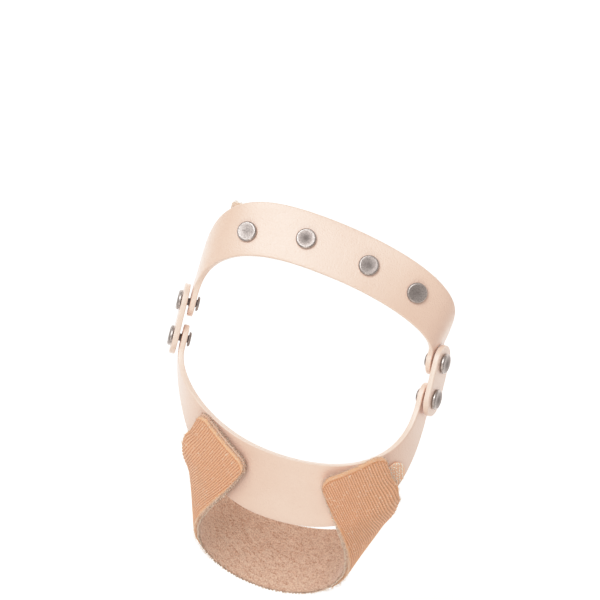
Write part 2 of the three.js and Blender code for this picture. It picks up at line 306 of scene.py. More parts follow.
def drill(piece, holes):
    """Cut a round hole through a piece for each (point, axis, radius)."""
    for point, axis, radius in holes:
        bpy.ops.mesh.primitive_cylinder_add(
            vertices=HOLE_SIDES, radius=radius * MM, depth=HOLE_LENGTH * MM)
        bit = bpy.context.object
        bit.matrix_world = Matrix.Translation(Vector(point) * MM) @ turn_to(axis)
        cut = piece.modifiers.new("hole", "BOOLEAN")
        cut.operation = "DIFFERENCE"
        cut.solver = "EXACT"
        cut.object = bit
        bpy.context.view_layer.update()
        finished = piece.evaluated_get(bpy.context.evaluated_depsgraph_get())
        cut_mesh = bpy.data.meshes.new_from_object(finished)
        piece.modifiers.clear()
        old = piece.data
        piece.data = cut_mesh
        bpy.data.meshes.remove(old)
        bpy.data.objects.remove(bit)
    piece.data.shade_smooth()
    piece.data.set_sharp_from_angle(angle=HOLE_CREASE)


# %% [markdown]
# With the drill ready, both bands are built. The finger band also gets four holes for the rivets
# that hold the finger loops, at places given along and across its sheet.

# %% Build both bands
FINGERS = table(
    "name along across breadth height aside forward",
    ("index", -0.692, 0.444, 19.4, 20.5, -1.4, 3.2),
    ("middle", -0.232, 0.499, 18.2, 21, 0.4, 0.5),
    ("ring", 0.295, 0.487, 17.4, 20, -1.6, 0.5),
    ("little", 0.707, 0.529, 14.6, 17.5, -1.4, 0),
)
for finger in FINGERS:
    spot, outward = band_places(BANDS["finger"], finger["along"], finger["across"])
    finger["point"], finger["normal"] = spot, outward

bands = {}
for name, band in BANDS.items():
    points, faces, rimness = band_mesh(band)
    piece = add_piece(f"{name}_band_sheet", points, faces)
    # the rim share also paints the plastic paler at its cut edges, a painted highlight
    add_values(piece, "rim", rimness)
    holes = [(pivot_point(hand, band["heading"]), ear_normal(hand), PIVOT_HOLE)
             for hand in (-1, 1)]
    if name == "finger":
        holes += [(finger["point"], finger["normal"], FIXED_HOLE) for finger in FINGERS]
    drill(piece, holes)
    bands[name] = piece
    print(f"{piece.name}: {len(holes)} holes")

# %% [markdown]
# ## Materials from nodes
# A material is a small chain of nodes that ends in the Principled shader. These helpers keep each
# chain short: one adds a node and fills its inputs, one makes noise in the object's own space, one
# mixes two colours by a number.

# %% Node helpers
def srgb(red, green, blue):
    """A screen colour, 0 to 255, as the linear colour that shaders use."""
    values = np.array([red, green, blue]) / 255
    linear = np.where(values <= 0.04045, values / 12.92, ((values + 0.055) / 1.055) ** 2.4)
    return (*map(float, linear), 1.0)


# %% A material and short ways to add to it
class Finish:
    """A material with its node tree, and short ways to add to it."""

    def __init__(self, name):
        self.material = bpy.data.materials.new(name)
        self.material.use_nodes = True
        self.nodes, self.links = self.material.node_tree.nodes, self.material.node_tree.links
        self.shader = self.nodes["Principled BSDF"]
        self.place = self.nodes.new("ShaderNodeTexCoord").outputs["Object"]

    def fill(self, socket, value):
        """Set an input to a value, or link it to another node's output."""
        if hasattr(value, "is_output"):
            self.links.new(value, socket)
        else:
            socket.default_value = value

    def node(self, kind, inputs=None, **settings):
        made = self.nodes.new(kind)
        for key, value in settings.items():
            setattr(made, key, value)
        for key, value in (inputs or {}).items():
            self.fill(made.inputs[key], value)
        return made

    def noise(self, scale, detail=2.0):
        inputs = {"Vector": self.place, "Scale": scale, "Detail": detail}
        return self.node("ShaderNodeTexNoise", inputs).outputs["Fac"]

    def attribute(self, name):
        return self.node("ShaderNodeAttribute", attribute_name=name).outputs["Fac"]

    def math(self, operation, first, second=0.0, clamp=False):
        inputs = {0: first, 1: second}
        return self.node("ShaderNodeMath", inputs, operation=operation, use_clamp=clamp).outputs[0]

    def ramp(self, value, low, high):
        """Bring low to 0 and high to 1."""
        inputs = {"Value": value, "From Min": low, "From Max": high}
        return self.node("ShaderNodeMapRange", inputs).outputs["Result"]

    def mix(self, share, first, second):
        made = self.node("ShaderNodeMix", data_type="RGBA")
        for key, value in (("Factor", share), ("A", first), ("B", second)):
            self.fill([s for s in made.inputs if s.name == key and s.enabled][0], value)
        return [s for s in made.outputs if s.enabled][0]

    def tint(self, base, share, strength, colour):
        """Bring a base towards a colour where the share is high, as far as the strength says."""
        return self.mix(self.math("MULTIPLY", share, strength), base, colour)

    def between(self, share, low, high):
        """Bring 0 to low and 1 to high."""
        inputs = {"Value": share, "To Min": low, "To Max": high}
        return self.node("ShaderNodeMapRange", inputs).outputs["Result"]

    def bump(self, height, distance, strength=1.0, after=None):
        inputs = {"Height": height, "Distance": distance, "Strength": strength}
        if after is not None:
            inputs["Normal"] = after
        return self.node("ShaderNodeBump", inputs).outputs["Normal"]

    def wire(self, **sockets):
        for key, value in sockets.items():
            self.fill(self.shader.inputs[key.replace("_", " ")], value)
        return self.material


# %% [markdown]
# ## Skin-tone plastic
# The sheet is a satin thermoplastic with a fine pebble, like good drawing paper, and its cut edges
# are painted paler than its faces, a painted highlight where the rim catches the light. The pebble
# is far too fine for geometry, so it is a bump from noise half a millimetre across. A slow second
# noise keeps the colour from being dead flat.

# %% Plastic
plastic = Finish("skin_tone_plastic")
cloud = plastic.ramp(plastic.noise(45, 3), 0.35, 0.65)
face_colour = plastic.mix(cloud, srgb(236, 202, 182), srgb(241, 209, 190))
fleck = plastic.ramp(plastic.noise(1900, 1), 0.62, 0.72)
face_colour = plastic.tint(face_colour, fleck, 0.25, srgb(222, 192, 172))
# painted highlight: the cut edges are painted paler by the rim share
colour = plastic.tint(face_colour, plastic.attribute("rim"), 0.7, srgb(245, 221, 205))
pebble = plastic.bump(plastic.noise(2000, 2), 0.00024, 0.8)
PLASTIC = plastic.wire(
    Base_Color=colour,
    Roughness=plastic.between(plastic.noise(900, 2), 0.34, 0.46),
    Normal=pebble,
    IOR=1.49,
    Specular_IOR_Level=0.95,
    Coat_Weight=0.8,
    Coat_Roughness=0.38,
)
dress(bands["finger"], PLASTIC, "finger_frame", ["finger_band"])
dress(bands["palm"], PLASTIC, "palm_frame", ["palm_band"])

# %% [markdown]
# ## Side links
# A link is a small plate with round ends, cut from the same sheet, that turns on two rivets. It is
# a stack of outlines, each one inset a little at the top and bottom so that its edges are eased,
# and closed by two flat faces.

# %% Links
LINK_RADIUS = 6.1
LINK_THICKNESS = 2
LINK_RIM = 0.4
LINK_EAR_GAP = 0.95
LINK_SIDES = 40


def ring_faces(levels, count):
    """Faces of a stack of rings: walls between neighbours, and a flat face on each end."""
    faces = []
    for level in range(levels - 1):
        for k in range(count):
            a, b = level * count + k, level * count + (k + 1) % count
            faces.append((a, b, b + count, a + count))
    faces.append(tuple(range(count))[::-1])
    faces.append(tuple((levels - 1) * count + k for k in range(count)))
    return faces


def stadium(inset):
    turn = np.linspace(0, math.pi, LINK_SIDES)
    radius = LINK_RADIUS - inset
    top = np.stack([radius * np.cos(turn), radius * np.sin(turn) + PIVOT_SPACING / 2], -1)
    return np.vstack([top, -top])


def link_mesh():
    ease = np.linspace(0, math.pi / 2, 6)
    count = 2 * LINK_SIDES
    lower = list(zip(LINK_RIM * (1 - np.sin(ease)), LINK_RIM * (1 - np.cos(ease))))
    levels = lower + [(inset, LINK_THICKNESS - height) for inset, height in lower][::-1]
    rings = [np.column_stack([stadium(inset), np.full(count, height)]) for inset, height in levels]
    on_rim = [inset <= 0.9 * LINK_RIM for inset, _ in levels]
    return np.vstack(rings), ring_faces(len(rings), count), np.repeat(np.float64(on_rim), count)


# %% Place the links
SIDES = [("radial", -1), ("ulnar", 1)]
INNER_FACE = SHEET / 2 + LINK_EAR_GAP
for side, hand in SIDES:
    outward = ear_normal(hand)
    lengthwise = np.array([0.0, 1.0, 0.0])
    basis = np.stack([np.cross(lengthwise, outward), lengthwise, outward])
    points, faces, rimness = link_mesh()
    raised = outward * INNER_FACE
    link = add_piece(f"{side}_link_plate", points @ basis + pivot_point(hand, 0) + raised, faces)
    # the link's eased rim is painted paler too, a painted highlight
    add_values(link, "rim", rimness)
    drill(link, [(pivot_point(hand, end) + raised, outward, FIXED_HOLE) for end in (1, -1)])
    dress(link, PLASTIC, f"{side}_side", [f"{side}_link"])

# %% [markdown]
# ## Rivets
# The rivets are turned: a flat cap with a chamfer, a thin shank, and a small head that is peened
# over on the far side. A lathe shape needs only its profile, so the profile is spun here. The cap
# is dished by a tenth of a millimetre, and its middle is also painted darker than its rim, a
# painted reflection.

# %% Rivet profile
CAP_RADIUS = 3.5
CAP_HEIGHT = 1.1
CAP_CHAMFER = 0.45
CAP_DISH = 0.1
SHANK_RADIUS = 1.3
PEEN_RADIUS = 2.6
PEEN_HEIGHT = 0.8
DISH_STEPS = (0.5, 1.1, 1.7, 2.3)
TINY = 0.01


def rivet_profile(grip):
    """Radius and height pairs from the middle of the peened head to the middle of the cap."""
    flat = CAP_RADIUS - CAP_CHAMFER
    bowl = flat - 0.25
    dish = [(bowl - step, CAP_HEIGHT - CAP_DISH * (1 - (1 - step / bowl) ** 2))
            for step in DISH_STEPS]
    return [
        (TINY, -grip - PEEN_HEIGHT), (PEEN_RADIUS - 0.5, -grip - PEEN_HEIGHT),
        (PEEN_RADIUS - 0.12, -grip - PEEN_HEIGHT + 0.22), (PEEN_RADIUS, -grip - 0.3),
        (PEEN_RADIUS - 0.05, -grip), (SHANK_RADIUS, -grip), (SHANK_RADIUS, 0), (CAP_RADIUS - 0.12, 0),
        (CAP_RADIUS, 0.12), (CAP_RADIUS, CAP_HEIGHT - CAP_CHAMFER - 0.08),
        (CAP_RADIUS - 0.05, CAP_HEIGHT - CAP_CHAMFER + 0.05), (flat + 0.08, CAP_HEIGHT - 0.06),
        (flat - 0.05, CAP_HEIGHT), (bowl, CAP_HEIGHT), *dish, (TINY, CAP_HEIGHT - CAP_DISH),
    ]


# %% Spin the profile
RIVET_SIDES = 64
RIVET_CREASE = math.radians(38)


def rivet_mesh(grip, point, axis):
    profile = np.array(rivet_profile(grip))
    turn = np.linspace(0, 2 * math.pi, RIVET_SIDES, endpoint=False)
    radii, heights = profile[:, :1], np.repeat(profile[:, 1:], RIVET_SIDES, 1)
    rings = np.stack([radii * np.cos(turn), radii * np.sin(turn), heights], -1).reshape(-1, 3)
    basis = np.array(turn_to(axis).to_3x3())
    flat = CAP_RADIUS - CAP_CHAMFER
    middle = np.repeat(np.clip((flat - profile[:, 0]) / flat, 0, 1), RIVET_SIDES)
    return rings @ basis.T + point, ring_faces(len(profile), RIVET_SIDES), middle


def add_rivet(name, point, axis, grip, painted_highlight=0.0):
    points, faces, middle = rivet_mesh(grip, point, axis)
    rivet = add_piece(name, points, faces)
    add_values(rivet, "middle", middle)
    add_values(rivet, "painted_highlight", np.full(len(points), painted_highlight))
    rivet.data.set_sharp_from_angle(angle=RIVET_CREASE)
    return rivet


# %% [markdown]
# The caps are plated steel, blasted to a satin in the middle. Their colour carries a painted
# reflection: lighter on the chamfer and darker in the middle, the bright ring and dark middle that a
# dished cap mirrors. Metal has no colour of its own beyond its reflection, so the grain is in the
# roughness, with a fine bump.

# %% Satin metal
metal = Finish("satin_rivet_metal")
middle = metal.attribute("middle")
grain = metal.noise(2800, 3)
# painted reflection: the chamfer and rim are painted lighter and the middle darker, as a dished cap
# mirrors them
tone = metal.mix(metal.ramp(middle, 0.0, 0.14), srgb(208, 199, 194), srgb(172, 161, 156))
tone = metal.mix(metal.ramp(middle, 0.14, 0.85), tone, srgb(126, 116, 112))
# painted highlight: each cap is painted lighter by its own share
tone = metal.mix(metal.attribute("painted_highlight"), tone, srgb(214, 204, 199))
tone = metal.tint(tone, metal.ramp(grain, 0.4, 0.68), 0.6, srgb(100, 92, 89))
rough = metal.math("ADD", metal.between(middle, 0.34, 0.55), metal.math("MULTIPLY", grain, 0.12))
METAL = metal.wire(
    Base_Color=tone,
    Metallic=1.0,
    Roughness=rough,
    Normal=metal.bump(grain, 0.00002, 0.5),
)

# %% [markdown]
# Four rivets are the pivots of the links, and four hold the finger loops, so these grip further in.
# Each cap is also painted lighter by its own share, a painted highlight, since no two caps catch the
# lamp alike.

# %% Place the rivets
CAP_GAP = 0.25
PIVOT_PEEN_GAP = 0.55
LOOP_PEEN_GAP = 1.7
LOOP_GAP = 1.05
LOOP_WALL = 1.5
pivot_seat = INNER_FACE + LINK_THICKNESS + CAP_GAP
pivot_grip = pivot_seat + SHEET / 2 + PIVOT_PEEN_GAP
for side, hand in SIDES:
    for end, heading in (("distal", 1), ("proximal", -1)):
        name = f"{side}_pivot_{end}"
        head = pivot_point(hand, heading) + ear_normal(hand) * pivot_seat
        rivet = add_rivet(f"{name}_rivet", head, ear_normal(hand), pivot_grip)
        dress(rivet, METAL, f"{side}_side", [name])
finger_seat = SHEET / 2 + CAP_GAP
finger_grip = finger_seat + SHEET / 2 + LOOP_GAP + LOOP_WALL + LOOP_PEEN_GAP
# how much lighter each cap is painted, a painted highlight
CAP_HIGHLIGHTS = {"index": 0.55, "middle": 0.0, "ring": 0.15, "little": 0.25}
for finger in FINGERS:
    name = finger["name"]
    head = finger["point"] + finger["normal"] * finger_seat
    rivet = add_rivet(f"{name}_cap_rivet", head, finger["normal"], finger_grip, CAP_HIGHLIGHTS[name])
    dress(rivet, METAL, "finger_frame", [f"{name}_rivet"])

# %% [markdown]
# ## Threads, loops and hooks
# Cloth shows what it is at its edges: the loops of its pile, its loose fibres, the hooks of a hook
# tape. They are all thin tubes along short paths, so one function makes any number of them as a
# single mesh. Hair particles could do this too, but a mesh exports, and arrays are quick.

# %% Many thin tubes
TUBE_SIDES = 3
OFF_AXIS = np.array([0.13, 0.31, 0.57])


def tubes(paths, radius, sides=TUBE_SIDES):
    """Points and faces of closed tubes along paths, an array of (tube, point, xyz)."""
    count, steps = paths.shape[:2]
    ways = unit(np.gradient(paths, axis=1))
    spread = unit(paths[:, -1:] - paths[:, :1])
    aside = unit(np.cross(ways, spread + OFF_AXIS))
    over = np.cross(ways, aside)
    turn = np.linspace(0, 2 * math.pi, sides, endpoint=False)
    radius = np.broadcast_to(np.asarray(radius, float), (count, steps))
    cosine, sine = np.cos(turn)[:, None], np.sin(turn)[:, None]
    circle = aside[:, :, None] * cosine + over[:, :, None] * sine
    points = (paths[:, :, None] + circle * radius[:, :, None, None]).reshape(-1, 3)
    index = np.arange(count * steps * sides).reshape(count, steps, sides)
    nxt = np.roll(index, -1, 2)
    corners = [index[:, :-1], nxt[:, :-1], nxt[:, 1:], index[:, 1:]]
    walls = np.stack(corners, -1).reshape(-1, 4)
    caps = np.concatenate([index[:, 0, ::-1], index[:, -1]])
    return points, [*walls.tolist(), *caps.tolist()]


def joined(*meshes):
    """Several pairs of points and faces as one."""
    points, faces, start = [], [], 0
    for some_points, some_faces in meshes:
        points.append(some_points)
        faces += [[k + start for k in face] for face in some_faces]
        start += len(some_points)
    return np.vstack(points), faces


# %% [markdown]
# ## Finger loops
# Under each finger rivet hangs a soft loop of tape. The bands hide them but for one pale tuft, so
# they are made plainly: an oval ring with rounded rims, drilled for the rivet's shank.

# %% Loop meshes
LOOP_WIDTH = 12
LOOP_SQUARENESS = 2.4
LOOP_UPRIGHT = 0.6
LOOP_RIM = 0.6
LOOP_AROUND = 120
LOOP_MIDDLES = 16


def loop_frame(finger):
    """The loop's sideways, upright and fingerwise directions, and the place of its crown."""
    normal = finger["normal"]
    lean = (1 - LOOP_UPRIGHT) * math.atan2(normal[0], normal[2])
    droop = math.atan2(normal[1], normal[2])
    sideways = np.array([-math.cos(lean), 0, math.sin(lean)])
    upright = np.array([math.sin(lean), 0, math.cos(lean)])
    fingerwise = np.array([0, math.cos(droop), -math.sin(droop)])
    crown = finger["point"] - normal * (SHEET / 2 + LOOP_GAP)
    return sideways, upright, fingerwise, crown


def loop_grid(finger):
    sideways, upright, fingerwise, crown = loop_frame(finger)
    turn = np.linspace(0, 2 * math.pi, LOOP_AROUND, endpoint=False)

    def bow(value):
        return np.sign(value) * np.abs(value) ** (2 / LOOP_SQUARENESS)

    wide, high = [(finger[way] - LOOP_WALL) / 2 for way in ("breadth", "height")]
    oval = (np.outer(wide * bow(np.cos(turn)), sideways)
            + np.outer(high * bow(np.sin(turn)) - finger["height"] / 2, upright))
    steps = rim_steps(LOOP_RIM, LOOP_WIDTH, LOOP_MIDDLES)
    centre = crown + fingerwise * finger["forward"] - sideways * finger["aside"]
    grid = centre + oval[:, None] + ((steps - LOOP_WIDTH / 2)[:, None] * fingerwise)[None]
    return grid, np.minimum(steps, LOOP_WIDTH - steps)


# %% [markdown]
# The loops and the skin side of the strap share one material: a looped pile, off-white with grey
# and brown in it. Its speckle is noise at the size of one loop, about half a millimetre, and sheen
# gives the soft bloom at its outline.

# %% Pile
pile = Finish("looped_pile")
curl = pile.noise(2300, 3)
cells = pile.node("ShaderNodeTexVoronoi", {"Vector": pile.place, "Scale": 1900.0})
lock = cells.outputs["Distance"]
shade = pile.mix(pile.ramp(curl, 0.35, 0.68), srgb(178, 122, 96), srgb(230, 192, 166))
shade = pile.mix(pile.ramp(lock, 0.05, 0.6), srgb(238, 210, 188), shade)
shade = pile.tint(shade, pile.attribute("tone"), 0.95, srgb(251, 230, 208))
PILE = pile.wire(
    Base_Color=shade,
    Roughness=pile.between(curl, 0.85, 1.0),
    Normal=pile.bump(lock, 0.00018, 0.9, pile.bump(curl, 0.00012, 0.7)),
    Specular_IOR_Level=0.2,
    Sheen_Weight=0.35,
    Sheen_Roughness=0.45,
)

# %% [markdown]
# Cut tape frays, so each loop gets a fuzz of short bent fibres at its two edges. They are drawn at
# random, from one generator with a fixed seed, so the picture is the same on every run.

# %% Bent fibres
HAIR_STRAY = 0.45
HAIR_SHORTEST = 0.45
HAIR_POINTS = 5
rng = np.random.default_rng(7)


def hairs(roots, directions, length, curl):
    """Short bent fibres from roots, each one curling its own way."""
    count = len(roots)
    ways = unit(directions + rng.normal(0, HAIR_STRAY, (count, 3)))
    bend = unit(rng.normal(0, 1, (count, 3)))
    reach = length * rng.uniform(HAIR_SHORTEST, 1.0, (count, 1, 1))
    share = np.linspace(0, 1, HAIR_POINTS)[None, :, None]
    return roots[:, None] + reach * (ways[:, None] * share + bend[:, None] * curl * share ** 2)


# %% Build the loops
RIPPLE = 0.07
RIPPLE_TURNS = (2.6, 1.9)
LOOP_TRIM = 0.05
LOOP_TONE, FUZZ_TONE = 0.45, 0.9
LOOP_HAIRS = 420
LOOP_HAIR = {"scatter": 0.21, "length": 0.9, "curl": 0.5, "radius": 0.035}
INWARD = 8
for finger in FINGERS:
    name = finger["name"]
    grid, distance = loop_grid(finger)
    height = np.broadcast_to(rim_height(distance, LOOP_WALL, LOOP_RIM), grid.shape[:2])
    waves = [np.sin(np.arange(count) * turn) for count, turn in zip(grid.shape, RIPPLE_TURNS)]
    height = height + RIPPLE * np.outer(*waves) - LOOP_TRIM
    loop = add_piece(f"{name}_finger_loop", *thick_sheet(grid, height, height, ring=True))
    crown = loop_frame(finger)[-1]
    drill(loop, [(crown, finger["normal"], FIXED_HOLE)])
    add_values(loop, "tone", np.full(len(loop.data.vertices), LOOP_TONE))
    dress(loop, PILE, "finger_frame", [f"{name}_loop"])
    edge = np.concatenate([grid[:, 0], grid[:, -1]])
    outwards = edge - np.concatenate([grid[:, INWARD], grid[:, -1 - INWARD]])
    picks = rng.integers(0, len(edge), LOOP_HAIRS)
    roots = edge[picks] + rng.normal(0, LOOP_HAIR["scatter"], (LOOP_HAIRS, 3))
    strands = hairs(roots, unit(outwards[picks]), LOOP_HAIR["length"], LOOP_HAIR["curl"])
    points, faces = tubes(strands, LOOP_HAIR["radius"])
    fuzz = add_piece(f"{name}_loop_fuzz", points, faces)
    add_values(fuzz, "tone", np.full(len(points), FUZZ_TONE))
    dress(fuzz, PILE, "finger_frame")

# %% [markdown]
# ## The strap's surface
# The strap is one length of padded tape: stuck to the palm band at one side, round under the wrist,
# and stuck down at the other. Rows across it are set on the band, then round the wrist on two
# ovals, and a smooth curve runs through them on every line. The same rows made the solid, so this
# finer skin lies on it. Cloth never turns sharply, so each point is averaged with its neighbours
# along the strap a few hundred times. Where the strap leaves the band, its free edge and the folds
# beside it are plumped out by about a millimetre.

# %% Strap sizes
PATCH_THICKNESS = 0.8
STRAP_THICKNESS = 2.4
STRAP_CORNER = 0.2
SOFT_GAP = 0.25
STRAP_LIFT = SHEET / 2 + 2 * SOFT_GAP + PATCH_THICKNESS + STRAP_THICKNESS / 2
TAB_STEPS = 4
STRAP_TABS = {
    "ulnar": {
        "distal": ((0.835, -0.18), (0.894, 0.96)), "proximal": ((0.382, 0.19), (0.557, 1.05)),
    },
    "radial": {
        "distal": ((-0.615, -0.1), (-0.71, 0.96)), "proximal": ((-0.155, 0.27), (-0.345, 1)),
    },
}
STRAP_EDGES = table(
    "centre_x centre_z breadth depth side_y volar_y",
    (4, -8, 36.5, 26, -43, -62),
    (2.4, -8, 28, 24.5, -69.5, -86),
)
STRAP_TURNS = np.radians([0, -45, -90, -135, -180])


# %% Rows across the strap
def tab_rows(tab, across, inset):
    """Rows over one strap end, from its round-cornered tip to where it leaves the band."""
    lines = inset + (1 - 2 * inset) * across
    corner = np.clip(1 - np.minimum(across, 1 - across) / STRAP_CORNER, 0, None)
    start = STRAP_CORNER * (1 - np.sqrt(1 - corner ** 2))
    rows = []
    for share in np.linspace(0, 1, TAB_STEPS + 1):
        reach = (start + (1 - start) * share)[:, None]
        distal, proximal = [np.array(end) + (np.array(leave) - np.array(end)) * reach
                            for end, leave in (tab["distal"], tab["proximal"])]
        spot = distal + (proximal - distal) * lines[:, None]
        rows.append(band_places(BANDS["palm"], spot[:, 0], spot[:, 1], STRAP_LIFT)[0])
    return rows


def wrist_row(turn, across):
    distal, proximal = [np.array([
        edge["centre_x"] + edge["breadth"] * math.cos(turn),
        edge["volar_y"] + (edge["side_y"] - edge["volar_y"]) * (1 + math.sin(turn)),
        edge["centre_z"] + edge["depth"] * math.sin(turn),
    ]) for edge in STRAP_EDGES]
    return distal + (proximal - distal) * across[:, None]


# %% Smooth lines through the rows
def smooth_lines(rows, shares):
    """Centripetal curves through the rows, one a line, at shares of the way from first to last."""
    rows = np.concatenate([[2 * rows[0] - rows[1]], rows, [2 * rows[-1] - rows[-2]]])
    place = shares * (len(rows) - 3)
    first = np.minimum(place.astype(int), len(rows) - 4)
    weight = (place - first)[:, None, None]
    a, b, c, d = (rows[first + k] for k in range(4))
    before, here, after = (np.linalg.norm(q - p, axis=-1, keepdims=True) ** 0.5
                           for p, q in ((a, b), (b, c), (c, d)))
    leave = here * ((b - a) / before - (c - a) / (before + here) + (c - b) / here)
    arrive = here * ((c - b) / here - (d - b) / (here + after) + (d - c) / after)
    cubic = 2 * b - 2 * c + leave + arrive
    square = -3 * b + 3 * c - 2 * leave - arrive
    return b + leave * weight + square * weight ** 2 + cubic * weight ** 3


# %% Strap surface
FINE_ROWS = 480
SOFTENING = 260
TURN_SHARES = (0.215, 0.785)
TURN_BULGE = 1.3
TURN_REACH = 0.06
FOLDS = table(
    "way line push way_reach line_reach",
    (0.33, 0.14, 0.95, 0.06, 0.09),
    (0.34, 0.32, 0.6, 0.08, 0.3),
    (0.685, 0.13, 1.15, 0.06, 0.11),
)


def strap_grid(across, shares, inset=0):
    """The strap's middle surface, drawn in from its long edges by a share of its width."""
    lines = inset + (1 - 2 * inset) * across
    ulnar, radial = [tab_rows(STRAP_TABS[side], across, inset) for side in ("ulnar", "radial")]
    rows = [*ulnar, *(wrist_row(turn, lines) for turn in STRAP_TURNS), *radial[::-1]]
    fine = smooth_lines(np.array(rows), np.linspace(0, 1, FINE_ROWS + 1))
    for _ in range(SOFTENING):
        fine[1:-1] = (fine[:-2] + 2 * fine[1:-1] + fine[2:]) / 4
    way = np.linspace(0, 1, FINE_ROWS + 1)[:, None]
    bulge = sum(np.exp(-((way - turn) / TURN_REACH) ** 2) for turn in TURN_SHARES)
    bulge = TURN_BULGE * bulge * np.clip(1 - 2 * lines, 0, 1) ** 2
    fine += bulge[..., None] * unit(fine[:, :1] - fine[:, -1:])
    push = sum(fold["push"] * np.exp(-((way - fold["way"]) / fold["way_reach"]) ** 2
                                     - ((lines - fold["line"]) / fold["line_reach"]) ** 2)
               for fold in FOLDS)
    fine -= push[..., None] * grid_normals(fine)
    first = np.minimum((shares * FINE_ROWS).astype(int), FINE_ROWS - 1)
    weight = (shares * FINE_ROWS - first)[:, None, None]
    return (fine[first] * (1 - weight) + fine[first + 1] * weight)[:, ::-1]


# %% Measure the strap
def way_along(grid, axis):
    """Running length from the first row or column, in millimetres."""
    steps = np.linalg.norm(np.diff(grid, axis=axis), axis=-1)
    pad = [(0, 0), (0, 0)]
    pad[axis] = (1, 0)
    return np.pad(np.cumsum(steps, axis), pad)


def edge_distance(grid):
    """Distance from each point of the strap to its nearest edge."""
    down, over = way_along(grid, 0), way_along(grid, 1)
    return np.minimum.reduce([down, down[-1:] - down, over, over[:, -1:] - over])


probe = strap_grid(np.linspace(0, 1, 9), np.linspace(0, 1, 400))
strap_length = float(way_along(probe, 0)[-1, 4])
strap_width = float(way_along(probe, 1)[:, -1].mean())
print(f"strap {strap_length:.0f} mm long, {strap_width:.1f} mm wide on average")

# %% [markdown]
# ## Ribbed knit
# The outer face is a fine ribbed knit, a rib to every nine tenths of a millimetre, bonded to a pile
# backing. The ribs are real relief: the height of the sheet rises and falls across it, and their
# valleys are painted darker as well, a painted shade. Towards the ends they drift sideways, as they
# do in tape that was cut a little off the grain. At the rim the knit rolls over and is painted paler
# there, a painted highlight, with a bonding line about a millimetre in. Each rib also
# keeps its number and its length along the strap as texture coordinates, for the stitches.

# %% Knit grid
RIBS = 28
RIB_COLUMNS = 7
KNIT_INSET = 0.016
KNIT_ENDS = (0.0025, 0.993)
END_GAP = 0.0072
end_steps = np.array([0, 0.0002, 0.0008, 0.0018, 0.0032, 0.005])
rim_across = np.array([0, 0.001, 0.004, 0.009, 0.016, 0.024])


def crowded(steps, gap, count):
    """Shares from 0 to 1: the steps at both ends, and even ones in between."""
    return np.concatenate([steps, np.linspace(gap, 1 - gap, count), 1 - steps[::-1]])


knit_across = crowded(rim_across, 0.033, RIBS * RIB_COLUMNS)
knit_shares = crowded(end_steps, END_GAP, 168)
knit_rows = KNIT_ENDS[0] + (KNIT_ENDS[1] - KNIT_ENDS[0]) * knit_shares
knit_grid = strap_grid(knit_across, knit_rows, KNIT_INSET)
knit_distance = edge_distance(knit_grid)
knit_normals = grid_normals(knit_grid)
print("knit grid", knit_grid.shape[:2])

# %% Knit relief
KNIT_THICKNESS = 1.7
KNIT_RIM = 0.83
KNIT_LEVEL = STRAP_THICKNESS / 2 - KNIT_THICKNESS / 2
RIB_DEPTH = 0.28
RIB_DRIFT = -0.16
DRIFT_REACH = 30
END_RIM, SIDE_RIM = 1.35, 0.8
SETTLE_FROM, SETTLE_OVER = 0.75, 0.5
GROOVE_DEPTH, GROOVE_WIDTH = 0.13, 0.17
PILLOW_FALL, PILLOW_REACH = 0.2, 2.2
down, over = way_along(knit_grid, 0), way_along(knit_grid, 1)
from_end = np.minimum(down, down[-1:] - down)
from_side = np.minimum(over, over[:, -1:] - over)
rim_share = np.minimum(from_end / END_RIM, from_side / SIDE_RIM)
settled = np.clip((rim_share - SETTLE_FROM) / SETTLE_OVER, 0, 1)
drift = RIB_DRIFT * DRIFT_REACH * (1 - np.exp(-from_end / DRIFT_REACH))
rib_place = RIBS * (knit_across + drift / strap_width)
rib_wave = 0.5 + 0.5 * np.cos(2 * math.pi * rib_place)
groove = np.exp(-((rim_share - 1) / GROOVE_WIDTH) ** 2)
half = rim_height(knit_distance, KNIT_THICKNESS, KNIT_RIM)
pillow = PILLOW_FALL * np.exp(-knit_distance / PILLOW_REACH)
sunk = RIB_DEPTH * (1 - rib_wave) * settled + GROOVE_DEPTH * groove + pillow
knit_sheet = thick_sheet(knit_grid, KNIT_LEVEL + half - sunk, half - KNIT_LEVEL)
knit_piece = add_piece("strap_knit", *knit_sheet)
print(f"knit relief up to {sunk.max():.2f} mm deep")

# %% Values for the knit's material
ROLL_START = 1.15
STITCH = 0.78


def on_both(values):
    return np.concatenate([np.broadcast_to(values, knit_distance.shape).ravel()] * 2)


add_values(knit_piece, "rib", on_both(1 - (1 - rib_wave) * settled))
add_values(knit_piece, "rolled", on_both(np.clip(ROLL_START - rim_share, 0, 1)))
add_values(knit_piece, "seam", on_both(groove))
stitch_uv = np.stack([rib_place, down / STITCH], -1).reshape(-1, 2)
stitch_uv = np.concatenate([stitch_uv, stitch_uv]).astype(np.float32)
corners = np.zeros(len(knit_piece.data.loops), np.int32)
knit_piece.data.loops.foreach_get("vertex_index", corners)
layer = knit_piece.data.uv_layers.new(name="stitches")
layer.data.foreach_set("uv", stitch_uv[corners].ravel())

# %% [markdown]
# The knit's material reads those coordinates. A stitch is a small V, so the phase of a sine along
# the rib is shifted by the distance from the middle of the rib. Valleys and the dips between
# stitches are painted darker and redder, a painted shade; rolled edges are painted lighter, a
# painted highlight; and lint is a sparse noise.

